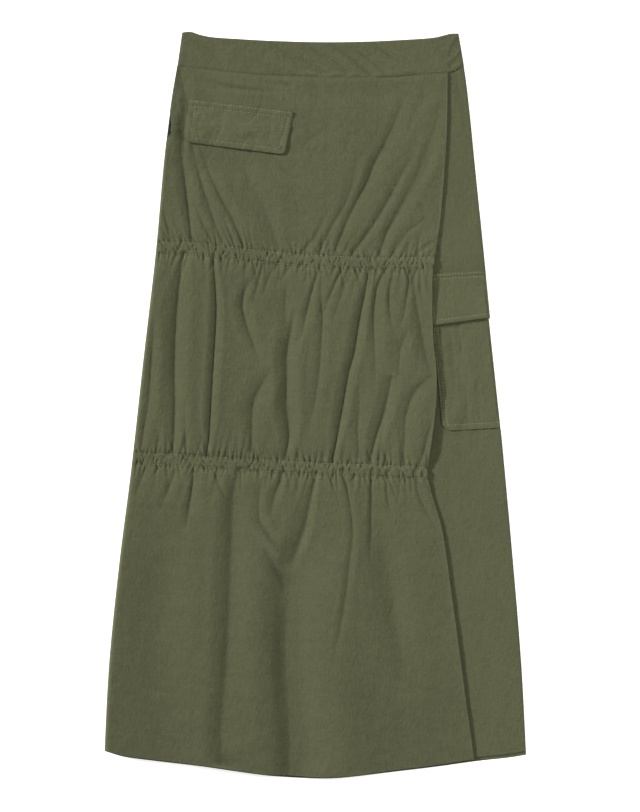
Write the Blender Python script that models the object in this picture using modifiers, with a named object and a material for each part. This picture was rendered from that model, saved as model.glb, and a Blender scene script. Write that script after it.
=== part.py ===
"""Cargo utility skirt, laid flat on its back.

A long A-line skirt lies on the plane z = 0 with its waist towards +Y and its front up. Two elastic
channels gather the wrap panel that covers most of the front. A cargo pocket and its flap go round
the side fold on the right. Everything is laid out in millimetres, across the skirt (from its centre
line, + to the viewer's right) and down it (from the waistband's corners towards the hem), and turned
into metres in the last step.
"""

import math
from collections import namedtuple

import bmesh
import bpy
from mathutils import Vector

MM = 0.001

# Driving sizes, in millimetres.
LENGTH = 912.0
CLOTH = 1.2  # wall of a single layer with the air it traps
FLAP_CLOTH = 1.3  # two layers, bagged out
POCKET_CLOTH = 1.0
BAND_CLOTH = 1.7  # the waistband is a folded double layer
GAP = 0.3  # between neighbouring pieces
SEAM_GAP = 1.0  # where pieces with unlike columns meet along a curved seam
LAYER = CLOTH + GAP

# The hip flap's corners, the radius of its lower ones, and how far its top and bottom edges stand off.
HIP_FLAP = {
    "top": ((-154.0, 83.0), (-26.5, 98.8)),
    "bottom": ((-158.5, 136.0), (-36.0, 151.5)),
    "corner": 7.0,
    "lift": (0.5, 1.1),
}
# Half the width of each patch that is folded at the side. Its top, its bottom and the corners cut off
# it are each given as (at its own edges, at the side fold) or (along the edge, up from it).
CARGO_POCKET = {"half": 72.0, "top": (309.0, 304.5), "bottom": (489.0, 485.0), "cut": (9.0, 7.5)}
CARGO_FLAP = {"half": 74.0, "top": (297.0, 292.5), "bottom": (360.5, 351.0), "cut": (3.0, 2.0)}

ZIP = {"across": 7.0, "top": 50.0, "bottom": 205.0, "cloth": 1.0}
ZIP_COVER = {"past": (24.0, 60.0), "share": (1.0, 0.0)}  # below the zip the cloth over it settles again
GAPE = {"down": (98.0, 124.0, 134.0), "open": (0.0, 4.5, 0.0)}  # where the seam stands open over the zip
EDGE_INSET = 9.5  # the base panel stops this far inside the side seam that the wrap panel rolls down to
EDGE_ROLL = 8.0
HEM_INSET = 2.5
ELASTIC = 13.5  # height of an elastic channel
BAND_CROWN = 0.9  # how far the front of the waistband bows up at its middle

OLIVE = (0.118, 0.126, 0.070, 1.0)
BLACK = (0.010, 0.010, 0.010, 1.0)

# The skirt's side folds.
SIDES = {
    "down": (0, 42, 84, 158, 268, 402, 537, 647, 769, 880, 920),
    "left": (-163, -169, -176, -185, -195, -210.5, -225.5, -239.5, -252, -258, -259),
    "right": (175, 182, 187.5, 195, 206, 219, 232, 242, 252, 258, 259),
}
# Lines that run across the skirt: each is how far down it is at several places across.
WAIST_TOP = {
    "across": (-163, -152, -141, -126, -97, -53, 6, 64, 108, 145, 160, 166, 175),
    "down": (0.6, 0, 3.7, 6.5, 8.6, 11, 12.6, 11.9, 9.8, 7.1, 3.7, 2.2, 2.0),
}
WAIST_SEAM = {
    "across": (-169, -126, -80, -31, 24, 90, 118, 162, 182),
    "down": (42, 46.5, 51.6, 54, 55.6, 55, 52.8, 49.8, 42),
}
UPPER_ELASTIC = {
    "across": (-195, -145, -95, -43, 14, 62, 104, 146, 206),
    "down": (264, 266, 272, 277.5, 281.5, 283.5, 284.3, 282, 274),
}
LOWER_ELASTIC = {
    "across": (-225, -182, -140, -92, -43, 14, 100, 138, 232),
    "down": (521, 523.5, 526, 529, 532, 535, 538, 540, 534),
}
HEM = {
    "across": (-258, -236, -200, -141, -82, -53, 6, 35, 94, 152, 195, 240, 258),
    "down": (878.5, 885, 890, 897, 905.5, 909, 912, 911, 904, 897, 891, 886, 883),
}
WRAP_EDGE = {
    "down": (42, 112, 174, 236, 276, 310, 370, 417, 450, 489, 542, 562, 608, 681, 758, 840, 900),
    "across": (
        162.3, 161.5, 158, 152.5, 146, 143, 144, 148.3, 148, 144, 137.2, 141.5, 155, 166, 176.5, 187.5, 196,
    ),
}
# What the parts of the cargo pocket folded under the skirt do to the stack, by distance down.
CARGO_STACK = {
    "down": (200, 270, 368, 510, 580),
    "pocket_lift": (1.6, 1.6, 1.6, 0.0, 0.0),
    "panel_lift": (0.0, 2.9, 2.9, 1.3, 0.0),
    "pocket_inset": (1.6, 1.6, 1.6, 0.0, 0.0),
    "panel_inset": (0.0, 4.6, 4.6, 3.1, 0.0),
    "top_lift": (0.0, 2.9, 2.9, 2.9, 0.0),
}
CARGO_REACH = {"inward": (100, 160), "share": (1.0, 0.0)}
# Height of the loose cloth between the lines that hold it down, by distance down.
PUFF = {
    "down": (42, 90, 160, 235, 264, 290, 400, 505, 524, 555, 700, 912),
    "height": (0, 1.0, 3.0, 4.5, 1.6, 4.8, 5.6, 4.6, 1.6, 4.6, 4.2, 3.4),
}

SIDE_RISE = {"inward": 34.0, "power": 0.6}  # it rises steeply from the side seam, then ever less
EDGE_FALL = {"inward": (0.0, 27.5), "share": (0.45, 1.0)}  # it lies lower along its free edge
FULL_FOLDS = 3.5  # where it stands off less than this, its folds are shallower
LEAST_PUFF = 0.1

# The largest folds of the wrap panel: troughs that pass through places down and across it, each with
# its depth and how far it spreads to its left and right.
Fold = namedtuple("Fold", "down across depth left right")
FOLD_FADE = 24.0  # a fold fades in and out over this distance at its ends
FOLD_POWER = 1.6  # 2 would give a fold round sides, and 1 a sharp bottom
FOLDS = (
    Fold((150, 205, 258), (-165, -157, -154), 2.6, 7, 9),
    Fold((145, 200, 262), (-140, -119, -90), 2.8, 8, 8),
    Fold((150, 210, 262), (-96, -80, -54), 2.2, 16, 12),
    Fold((80, 150, 210, 265), (110, 79, 50, 24), 2.8, 8, 12),
    Fold((120, 185, 245, 272), (137, 119, 84, 75), 3.0, 9, 10),
    Fold((180, 235, 270), (42, 22, -18), 2.2, 9, 10),
    Fold((290, 365, 430, 515), (-168, -181, -181, -183), 3.8, 9, 10),
    Fold((290, 365, 450, 515), (-126, -122, -128, -134), 3.2, 8, 8),
    Fold((300, 345, 400, 450, 515), (-84, -92, -76, -84, -84), 3.0, 12, 12),
    Fold((300, 390, 450, 520), (-26, -42, -40, -39), 4.2, 12, 10),
    Fold((290, 375, 450, 520), (64, 50, 32, 21), 3.8, 9, 9),
    Fold((372, 430, 490, 525), (108, 88, 74, 64), 3.6, 12, 10),
    Fold((425, 470, 520), (148, 112, 104), 2.8, 11, 11),
    Fold((550, 660, 800, 905), (-108, -110, -117, -120), 2.6, 9, 10),
    Fold((550, 640, 720, 905), (-9, -28, -38, -38), 3.8, 26, 16),
    Fold((555, 615, 680, 760), (66, 66, 82, 90), 2.2, 9, 20),
    Fold((600, 700, 800), (-178, -192, -200), 1.4, 24, 24),
)


def mix(a, b, t):
    return a + (b - a) * t


def stretch(places, at):
    """(index, share) of the place between two neighbours in a rising table."""
    last = len(places) - 1
    at = min(max(at, places[0]), places[last])
    i = next(k for k in range(last) if at <= places[k + 1])
    return i, (at - places[i]) / (places[i + 1] - places[i])


def straight_line(places, values, at):
    i, t = stretch(places, at)
    return mix(values[i], values[i + 1], t)


def smooth_line(places, values, at):
    """A soft curve through (place, value) pairs: cubic pieces with averaged slopes."""
    i, t = stretch(places, at)

    def slope(k):
        low, high = max(k - 1, 0), min(k + 1, len(places) - 1)
        return (values[high] - values[low]) / (places[high] - places[low])

    span = places[i + 1] - places[i]
    start, end = slope(i) * span, slope(i + 1) * span
    return (
        values[i] * (1 + 2 * t) * (1 - t) ** 2
        + start * t * (1 - t) ** 2
        + values[i + 1] * t * t * (3 - 2 * t)
        + end * t * t * (t - 1)
    )


def down_at(line, across):
    return smooth_line(line["across"], line["down"], across)


def left_at(down):
    return smooth_line(SIDES["down"], SIDES["left"], down)


def right_at(down):
    return smooth_line(SIDES["down"], SIDES["right"], down)


def wrap_edge_at(down):
    return smooth_line(WRAP_EDGE["down"], WRAP_EDGE["across"], down)


def gape_at(down):
    return straight_line(GAPE["down"], GAPE["open"], down)


def cargo(column, across, down):
    """One column of the cargo stack, faded out towards the middle of the skirt."""
    share = straight_line(CARGO_REACH["inward"], CARGO_REACH["share"], right_at(down) - across)
    return share * straight_line(CARGO_STACK["down"], CARGO_STACK[column], down)


# Heights of the stack, from the floor up. Each is of a layer's underside.


def back_height(across, down):
    """On the floor, but over what is folded under it."""
    return cargo("panel_lift", across, down)


def base_height(across, down):
    return back_height(across, down) + LAYER


def pocket_top(across, down):
    return base_height(across, down) + LAYER + POCKET_CLOTH


def fold_depth(fold, across, down):
    """How deep one fold is at a place."""
    inside = min(down - fold.down[0], fold.down[-1] - down)
    fade = min(max(inside / FOLD_FADE + 0.5, 0.0), 1.0)
    if not fade:
        return 0.0
    offset = across - smooth_line(fold.down, fold.across, down)
    width = fold.left if offset < 0 else fold.right
    return fold.depth * fade * math.exp(-(abs(offset / width) ** FOLD_POWER))


def loose_cloth(across, down):
    """How far the wrap panel stands off what it lies on."""
    puff = smooth_line(PUFF["down"], PUFF["height"], down)
    folds = sum(fold_depth(fold, across, down) for fold in FOLDS)
    inside = across - left_at(down)
    free = wrap_edge_at(down) - across
    held = min(max(inside / SIDE_RISE["inward"], 0), 1) ** SIDE_RISE["power"]
    held *= straight_line(EDGE_FALL["inward"], EDGE_FALL["share"], free)
    return max(puff - folds * min(puff / FULL_FOLDS, 1), 0.0) * held + LEAST_PUFF


def wrap_height(across, down):
    """At its seamed side the wrap panel rolls down past the base panel's edge, onto the zip."""
    inside = across - left_at(down)
    roll = LAYER * min(max(inside / EDGE_ROLL, 0), 1)
    covered = straight_line(ZIP_COVER["past"], ZIP_COVER["share"], down - ZIP["bottom"])
    over_zip = (ZIP["cloth"] + GAP) * covered
    stack = base_height(across, down) + max(roll, over_zip)
    return stack + cargo("top_lift", across, down) + loose_cloth(across, down)


# Making the pieces.


def material(name, colour, roughness):
    made = bpy.data.materials.new(name)
    made.use_nodes = True
    shader = made.node_tree.nodes["Principled BSDF"]
    shader.inputs["Base Color"].default_value = colour
    shader.inputs["Roughness"].default_value = roughness
    return made


def panel(name, columns, rows, place, thickness, finish):
    """A cloth piece: a grid whose columns and rows are placed across, down and up, given a wall.

    columns and rows are tables of stations, and place turns a pair of them into a point. The wall
    grows along the grid's normals, or against them for a negative thickness.
    """
    mesh = bpy.data.meshes.new(name)
    shape = bmesh.new()
    bmesh.ops.create_grid(shape, x_segments=len(columns) - 1, y_segments=len(rows) - 1, size=1.0)
    for vertex in shape.verts:
        column = round((vertex.co.x + 1) / 2 * (len(columns) - 1))
        row = round((1 - vertex.co.y) / 2 * (len(rows) - 1))
        across, down, up = place(columns[column], rows[row])
        vertex.co = Vector((across, LENGTH / 2 - down, up)) * MM
    bmesh.ops.triangulate(shape, faces=shape.faces)
    shape.to_mesh(mesh)
    shape.free()
    piece = bpy.data.objects.new(name, mesh)
    garment.objects.link(piece)
    mesh.materials.append(finish)
    wall = piece.modifiers.new("Wall", "SOLIDIFY")
    wall.thickness = abs(thickness) * MM
    wall.offset = math.copysign(1, thickness)
    return piece


def even(count):
    return [k / count for k in range(count + 1)]


def settle(lines, row, across_at):
    """(across, down) where a column crosses a row. Row 1.5 is halfway from lines[1] to lines[2]."""
    i = min(int(row), len(lines) - 2)
    down = down_at(lines[i][0], 0)
    for _ in range(6):
        across = across_at(down)
        top = down_at(lines[i][0], across) + lines[i][1]
        bottom = down_at(lines[i + 1][0], across) + lines[i + 1][1]
        down = mix(top, bottom, row - i)
    return across, down


PANEL_ROWS = even(28)
# A panel's columns share out its left part evenly, then lie so far in from its right side.
PANEL_SHARES = 6
PANEL_INWARD = (160, 128, 98, 78, 52, 30, 14, 0)


def full_panel(name, inset, hem, height, cloth):
    """A panel from the waist seam to the hem, and from side to side but for an inset on the left."""
    lines = ((WAIST_SEAM, SEAM_GAP / 2), (HEM, -hem))
    columns = [(k / PANEL_SHARES, PANEL_INWARD[0]) for k in range(PANEL_SHARES)]
    columns += [(1, inward) for inward in PANEL_INWARD]

    def place(column, row):
        share, inward = column

        def across_at(down):
            right = right_at(down) - cargo("panel_inset", right_at(down), down)
            return mix(left_at(down) + inset, right - inward, share)

        across, down = settle(lines, row, across_at)
        return across, down, height(across, down)

    return panel(name, columns, PANEL_ROWS, place, CLOTH, cloth)


def front_wrap(cloth):
    """The gathered panel over the front, sewn at the waist and one side, free at the other."""
    half = ELASTIC / 2
    lines = (
        (WAIST_SEAM, SEAM_GAP / 2),
        (UPPER_ELASTIC, -half),
        (UPPER_ELASTIC, half),
        (LOWER_ELASTIC, -half),
        (LOWER_ELASTIC, half),
        (HEM, 0),
    )
    rows = [band + k / n for band, n in enumerate((8, 1, 9, 1, 10)) for k in range(n)] + [5]
    columns = [(0, 0)] + [(EDGE_ROLL, share) for share in even(38)]

    def place(column, row):
        roll, share = column

        def across_at(down):
            return mix(left_at(down) + gape_at(down) + roll, wrap_edge_at(down), share)

        across, down = settle(lines, row, across_at)
        return across, down, wrap_height(across, down)

    return panel("front_wrap", columns, rows, place, CLOTH, cloth)


def waistband(name, height, cloth):
    """Half of the waistband, front or back, between its top edge and the seam that joins the panels."""
    lines = ((WAIST_TOP, 0), (WAIST_SEAM, -SEAM_GAP / 2))

    def place(column, row):
        across, down = settle(lines, row, lambda down: mix(left_at(down), right_at(down), column))
        return across, down, height(column)

    return panel(name, even(20), even(3), place, BAND_CLOTH, cloth)


def hip_flap(cloth):
    """The small flap near the waist, tilted, with rounded lower corners."""
    (left, right), (low_left, low_right) = HIP_FLAP["top"], HIP_FLAP["bottom"]
    corner = HIP_FLAP["corner"]

    def place(column, row):
        nearest = min(column, 1 - column) * (right[0] - left[0])
        cut = corner - math.sqrt(corner**2 - max(corner - nearest, 0) ** 2)
        across = mix(mix(left[0], right[0], column), mix(low_left[0], low_right[0], column), row)
        down = mix(mix(left[1], right[1], column), mix(low_left[1], low_right[1], column) - cut, row)
        return across, down, wrap_height(across, down) + CLOTH + mix(*HIP_FLAP["lift"], row)

    columns = (0, 0.02, 0.06, 0.2, 0.4, 0.6, 0.8, 0.94, 0.98, 1)
    return panel("hip_flap", columns, even(4), place, FLAP_CLOTH, cloth)


# Stations round a patch that is folded at the side: 0 to 1 over the front, 1 to 2 round the turn, and
# 2 to 3 under the back.
OVER_FRONT = (0.0, 0.04, 0.13, 0.4, 0.7, 1.0)
ROUND_THE_TURN = (1.17, 1.33, 1.5, 1.67, 1.83)
UNDER_BACK = (2.0, 2.3, 2.6, 2.87, 2.96, 3.0)


def folded_patch(name, size, rows, thickness, outer, under, over, cloth):
    """A patch centred on the right side fold: over the front, round the fold and under the back."""

    def place(station, row):
        inward = min(station, 3 - station, 1)
        cut = size["cut"][1] * min(max(1 - inward * size["half"] / size["cut"][0], 0), 1)
        down = mix(mix(*size["top"], inward), mix(*size["bottom"], inward) - cut, row)
        edge = right_at(down) - outer(down)
        low, high = under(down), over(edge, down)
        radius = (high - low) / 2
        start = right_at(down) - size["half"]
        if station <= 1:
            return mix(start, edge - radius, station), down, over(mix(start, edge, station), down)
        if station >= 2:
            return mix(edge - radius, start, station - 2), down, low
        turn = math.pi * (station - 1)
        return edge - radius + radius * math.sin(turn), down, (high + low) / 2 + radius * math.cos(turn)

    return panel(name, OVER_FRONT + ROUND_THE_TURN + UNDER_BACK, rows, place, -thickness, cloth)


def cargo_pocket(cloth):
    def outer(down):
        return straight_line(CARGO_STACK["down"], CARGO_STACK["pocket_inset"], down)

    def under(down):
        return straight_line(CARGO_STACK["down"], CARGO_STACK["pocket_lift"], down)

    rows = even(12)
    return folded_patch("cargo_pocket", CARGO_POCKET, rows, POCKET_CLOTH, outer, under, pocket_top, cloth)


def cargo_flap(cloth):
    def over(across, down):
        return pocket_top(across, down) + GAP + FLAP_CLOTH

    def nothing(down):
        return 0.0

    return folded_patch("cargo_flap", CARGO_FLAP, even(4), FLAP_CLOTH, nothing, nothing, over, cloth)


def side_zip(tape):
    """The tape of the concealed zip in the left side seam, which shows only where the seam gapes."""

    def place(column, row):
        down = mix(ZIP["top"], ZIP["bottom"], row)
        return left_at(down) + GAP + ZIP["across"] * column, down, LAYER

    return panel("side_zip", even(1), even(8), place, ZIP["cloth"], tape)


for old in list(bpy.data.objects):
    bpy.data.objects.remove(old)
garment = bpy.data.collections.new("cargo_utility_skirt")
bpy.context.scene.collection.children.link(garment)

olive_cloth = material("olive_cloth", OLIVE, 0.85)
zip_tape = material("zip_tape", BLACK, 0.6)

full_panel("back_panel", 0.0, HEM_INSET / 2, back_height, olive_cloth)
full_panel("front_base", EDGE_INSET, HEM_INSET, base_height, olive_cloth)
front_wrap(olive_cloth)
waistband("waistband_back", lambda column: 0.0, olive_cloth)
waistband(
    "waistband_front",
    lambda column: BAND_CLOTH + GAP + BAND_CROWN * math.sin(math.pi * column),
    olive_cloth,
)
hip_flap(olive_cloth)
cargo_pocket(olive_cloth)
cargo_flap(olive_cloth)
side_zip(zip_tape)
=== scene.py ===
"""Looks of the cargo utility skirt, which lies flat on its back on a pale floor and is seen from above.

Lengths are in millimetres until a mesh is made. Places are given across the skirt, from its centre
line, + to the viewer's right, and down it, from the waistband's highest corner towards the hem.
"""
import math
from collections import namedtuple

import bmesh
import bpy
import numpy as np
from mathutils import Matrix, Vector, noise
from mathutils.bvhtree import BVHTree


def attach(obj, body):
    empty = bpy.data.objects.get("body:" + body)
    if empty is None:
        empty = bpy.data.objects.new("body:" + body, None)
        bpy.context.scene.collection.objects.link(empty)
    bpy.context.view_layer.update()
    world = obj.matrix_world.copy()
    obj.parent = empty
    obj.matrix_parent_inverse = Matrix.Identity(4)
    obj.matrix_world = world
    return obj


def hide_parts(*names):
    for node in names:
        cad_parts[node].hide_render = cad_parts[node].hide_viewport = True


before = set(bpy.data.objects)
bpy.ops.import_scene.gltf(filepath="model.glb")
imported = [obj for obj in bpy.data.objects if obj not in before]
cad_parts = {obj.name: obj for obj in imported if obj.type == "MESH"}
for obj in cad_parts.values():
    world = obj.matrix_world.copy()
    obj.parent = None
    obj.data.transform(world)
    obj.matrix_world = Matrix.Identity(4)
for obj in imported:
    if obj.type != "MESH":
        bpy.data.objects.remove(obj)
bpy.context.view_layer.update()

MM = 0.001
CLOTH = 1.2
FLAP_CLOTH = 1.3
POCKET_CLOTH = 1.0
BAND_CLOTH = 1.7
GAP = 0.3  # between two layers of cloth
LAYER = CLOTH + GAP
LENGTH = 912.0
HOLLOW = 0.6  # a place this far below those around it gets the darkest painted shade of a crease
HOLLOW_ROUNDS = 5  # rounds of averaging that tell what lies around a place
SIDE_FOLD_SHADE = 0.9  # how much painted shade darkens a side fold, in the same measure

SIDES = {
    "down": (0, 42, 84, 158, 268, 402, 537, 647, 769, 880, 920),
    "left": (-163, -169, -176, -185, -195, -210.5, -225.5, -239.5, -252, -258, -259),
    "right": (175, 182, 187.5, 195, 206, 219, 232, 242, 252, 258, 259),
}
WAIST_TOP = {
    "across": (-163, -152, -141, -126, -97, -53, 6, 64, 108, 145, 160, 166, 175),
    "down": (0.6, 0, 3.7, 6.5, 8.6, 11, 12.6, 11.9, 9.8, 7.1, 3.7, 2.2, 2.0),
}
WAIST_SEAM = {
    "across": (-169, -126, -80, -31, 24, 90, 118, 162, 182),
    "down": (42, 46.5, 51.6, 54, 55.6, 55, 52.8, 49.8, 42),
}
UPPER_ELASTIC = {
    "across": (-195, -145, -95, -43, 14, 62, 104, 146, 206),
    "down": (264, 266, 272, 277.5, 281.5, 283.5, 284.3, 282, 274),
}
LOWER_ELASTIC = {
    "across": (-225, -182, -140, -92, -43, 14, 100, 138, 232),
    "down": (521, 523.5, 526, 529, 532, 535, 538, 540, 534),
}
HEM = {
    "across": (-258, -236, -200, -141, -82, -53, 6, 35, 94, 152, 195, 240, 258),
    "down": (878.5, 885, 890, 897, 905.5, 909, 912, 911, 904, 897, 891, 886, 883),
}
WRAP_EDGE = {
    "down": (42, 112, 174, 236, 276, 310, 370, 417, 450, 489, 542, 562, 608, 681, 758, 840, 900),
    "across": (162.3, 161.5, 158, 152.5, 146, 143, 144, 148.3, 148, 144, 137.2, 141.5, 155, 166, 176.5,
               187.5, 196),
}
ELASTIC = 13.5  # how wide a channel for the elastic is
HEM_STEP = 0.3  # the wrap panel's hem is this much higher than the line of the hem
BASE_HEM = 2.0  # the front base's is higher still
BACK_HEM = 2.4  # and the back panel's this much lower, so that it shows as a dark line

# How far the cargo pocket and its flap lift and draw in what lies over and under them, down the skirt.
CARGO_STACK = {
    "down": (200, 270, 368, 510, 580),
    "pocket_lift": (1.6, 1.6, 1.6, 0.0, 0.0),
    "panel_lift": (0.0, 2.9, 2.9, 1.3, 0.0),
    "pocket_inset": (1.6, 1.6, 1.6, 0.0, 0.0),
}
OVER_CARGO = {"down": (240, 288, 510, 580), "lift": (0.0, 2.9, 2.9, 0.0)}
PANEL_INSET = {"down": (293, 297, 368, 482, 488), "inset": (0.0, 4.6, 4.6, 3.4, 0.0)}
CARGO_REACH = {"inward": (100, 160), "share": (1.0, 0.0)}

# How far the wrap panel stands off what it lies on: in its middle, and at its free edge.
PUFF = {
    "down": (42, 90, 160, 235, 264, 290, 400, 505, 524, 555, 700, 912),
    "height": (0, 1.6, 3.4, 4.4, 3.0, 4.8, 6.2, 4.9, 3.0, 5.2, 8.8, 7.8),
}
EDGE_LIFT = {
    "down": (42, 80, 130, 190, 250, 278, 310, 400, 500, 535, 580, 700, 912),
    "height": (-0.5, 0.1, 0.5, 0.6, 0.7, 1.3, 3.0, 2.8, 2.7, 2.1, 1.8, 1.3, 0.9),
}
ZIP = {"across": 7.0, "top": 50.0, "bottom": 205.0, "cloth": 1.0}
OVER_ZIP = {"down": (229.0, 265.0), "share": (1.0, 0.0)}
GAPE = {"down": (98.0, 122.0, 134.0), "open": (0.0, 5.6, 0.0)}  # how far the side seam opens at the zip

# Each fold is a trough whose left wall passes places down and across the skirt. It has a depth at
# each of them, and spreads so far to its left and right.
Fold = namedtuple("Fold", "down across depth left right")


def folds(*rows):
    return tuple(Fold(*row) for row in rows)


HIP_FOLDS = folds(
    ((50, 74, 99), (-168, -162, -157), (0.6, 1.6, 1.8), 4, 6),
    ((106, 149, 187, 227, 255), (-168, -167, -162, -156, -154), (0.4, 2.2, 3.2, 3.4, 2.4), 5, 8),
    ((140, 173, 203, 233, 258), (-153, -145, -137, -125, -116), (1.6, 1.8, 1.8, 1.8, 1.6), 4, 6),
    ((145, 184, 211, 232, 261), (-142, -127, -113, -103, -91), (0.5, 1.8, 2.4, 2.4, 1.8), 3.5, 6),
    ((214, 236, 256), (-148, -140, -129), (0.2, 1.0, 1.4), 3, 5),
    ((157, 184, 211, 240, 266), (-97, -86, -70, -57, -50), (0.4, 2.2, 3.2, 3.2, 1.6), 14, 9),
    ((221, 240, 256), (-187, -181, -179), (0.8, 1.6, 1.4), 3, 5),
    ((72, 103, 136, 160, 187, 206, 232, 271), (111, 99, 83, 70, 58, 51, 37, 21),
     (0.4, 1.6, 2.2, 2.8, 3.0, 2.8, 2.4, 2.0), 4, 9),
    ((91, 138, 162, 187, 219, 246, 272), (150, 137, 131, 120, 98, 83, 76),
     (0.3, 1.8, 2.6, 2.8, 2.6, 2.6, 2.4), 5, 7),
    ((152, 179, 211, 243, 272), (115, 102, 86, 64, 43), (0.2, 1.6, 2.0, 2.2, 2.2), 3.5, 6),
    ((162, 195, 214, 235, 270), (48, 40, 35, 21, 2), (0.3, 1.0, 1.6, 1.8, 1.6), 4, 7),
    ((223, 251, 271), (13, -3, -19), (0.3, 1.4, 1.8), 3, 6),
    ((228, 243, 272), (132, 113, 94), (0.6, 1.2, 1.2), 3, 4),
    ((253, 265, 278), (148, 129, 115), (1.0, 1.3, 1.2), 3, 4),
    ((57, 79, 98, 123), (142, 129, 118, 112), (0.8, 1.4, 1.0, 0.2), 5, 7),
    ((116, 132, 148), (12, -13, -24), (0.3, 0.9, 0.3), 6, 8),
    ((108, 145), (45, 34), (0.3, 0.4), 5, 6),
    ((84, 104, 128, 147), (-160, -162.5, -165, -163), (1.0, 3.4, 3.6, 1.2), 5, 3),
    ((56, 68, 74), (-140, -100, -60), (0.2, 1.2, 0.2), 4, 5),
    ((60, 66, 64), (-50, -15, 20), (0.2, 0.9, 0.2), 4, 5),
    ((150, 168, 182), (-60, -40, -30), (0.2, 0.9, 0.2), 6, 7),
    ((196, 214, 236), (-30, -22, -24), (0.2, 0.8, 0.2), 5, 7),
    ((118, 150, 176), (142, 133, 128), (0.2, 1.0, 0.2), 3, 5),
)
THIGH_FOLDS = folds(
    ((272, 301, 335, 366, 395, 421, 447, 473, 499, 514),
     (-164, -170, -173, -175, -176, -177, -175, -176, -177, -179),
     (2.6, 3.6, 4.4, 4.6, 4.8, 4.8, 4.4, 4.2, 3.8, 3.0), 8, 9),
    ((275, 301, 335, 366, 416, 458, 499, 518), (-127, -126, -122, -124, -128, -130, -132, -135),
     (2.6, 3.4, 3.8, 3.8, 3.6, 3.6, 3.4, 2.6), 4, 5),
    ((305, 322, 338, 359, 382, 402), (-84, -92, -93, -88, -78, -72),
     (1.0, 2.6, 3.0, 2.8, 2.2, 0.6), 5, 6),
    ((412, 439, 458, 484, 512), (-58, -77, -81, -81, -82), (0.8, 2.6, 3.2, 3.0, 2.4), 7, 10),
    ((282, 311, 337), (-65, -73, -80), (1.8, 1.6, 0.3), 3, 5),
    ((282, 299, 319), (-47, -60, -65), (1.8, 1.8, 0.6), 4, 6),
    ((285, 302), (-31, -43), (2.0, 1.0), 3, 6),
    ((308, 335, 368), (-40, -41, -41), (0.6, 2.2, 0.1), 9, 9),
    ((340, 377, 395, 419, 453, 476, 494, 522), (-29, -37, -40, -37, -41, -37, -33, -40),
     (0.2, 4.8, 6.4, 6.8, 6.8, 6.4, 5.6, 3.2), 7, 8),
    ((287, 312, 338, 366, 382), (4, -5, -11, -18, -23), (1.8, 2.4, 2.2, 1.4, 0.3), 3.5, 5),
    ((294, 316, 336, 351, 374, 416, 453, 489), (6, 3, 6, 7, 6, 3, -2, -10),
     (1.4, 1.2, 1.8, 2.0, 1.8, 1.6, 1.2, 0.2), 4, 5),
    ((291, 314, 344), (30, 21, 8), (2.0, 2.0, 0.8), 3, 5),
    ((294, 322, 355), (42, 30, 19), (1.4, 1.2, 0.2), 3, 5),
    ((292, 317, 353, 395, 416, 458, 494, 525), (63, 60, 51, 43, 40, 30, 24, 19),
     (2.8, 3.6, 4.2, 4.0, 3.8, 4.0, 3.8, 3.0), 5, 5),
    ((289, 309, 338, 366, 395, 429), (85, 73, 68, 69, 71, 71),
     (1.8, 2.8, 2.6, 2.0, 1.4, 0.2), 4, 7),
    ((365, 387, 417), (109, 97, 98), (0.6, 2.2, 0.8), 8, 6),
    ((424, 465, 492, 527), (90, 81, 73, 63), (2.0, 3.8, 3.8, 2.8), 6, 6),
    ((475, 522), (82, 76), (0.5, 1.4), 3, 4),
    ((294, 322, 348, 363), (113, 111, 107, 99), (2.0, 2.0, 1.2, 0.2), 3, 4),
    ((293, 317, 346, 365), (94, 87, 88, 94), (1.6, 1.8, 1.4, 0.2), 3, 5),
    ((294, 317, 351, 390, 421), (116, 117, 123, 131, 138), (1.6, 1.8, 2.6, 2.8, 0.6), 6, 9),
    ((293, 317, 338), (126, 126, 130), (1.6, 1.4, 0.4), 3, 4),
    ((424, 442, 465, 484, 500, 530), (133, 115, 109, 105, 107, 105),
     (0.8, 2.6, 2.6, 2.2, 2.4, 2.2), 5, 8),
    ((473, 492, 520, 534), (141, 139, 126, 123), (0.4, 1.6, 2.0, 1.6), 4, 5),
    ((355, 395, 421, 458, 484, 512), (-199, -203, -202, -206, -212, -215),
     (0.4, 2.0, 2.0, 1.6, 2.0, 1.8), 4, 6),
    ((457, 508), (-161, -161), (0.4, 1.8), 4, 5),
    ((436, 463, 484, 521), (50, 53, 46, 50), (0.6, 1.4, 1.8, 1.4), 6, 6),
    ((478, 512), (-104, -105), (0.2, 1.0), 4, 5),
    ((485, 519), (-68, -69), (0.2, 1.0), 4, 5),
)
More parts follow.
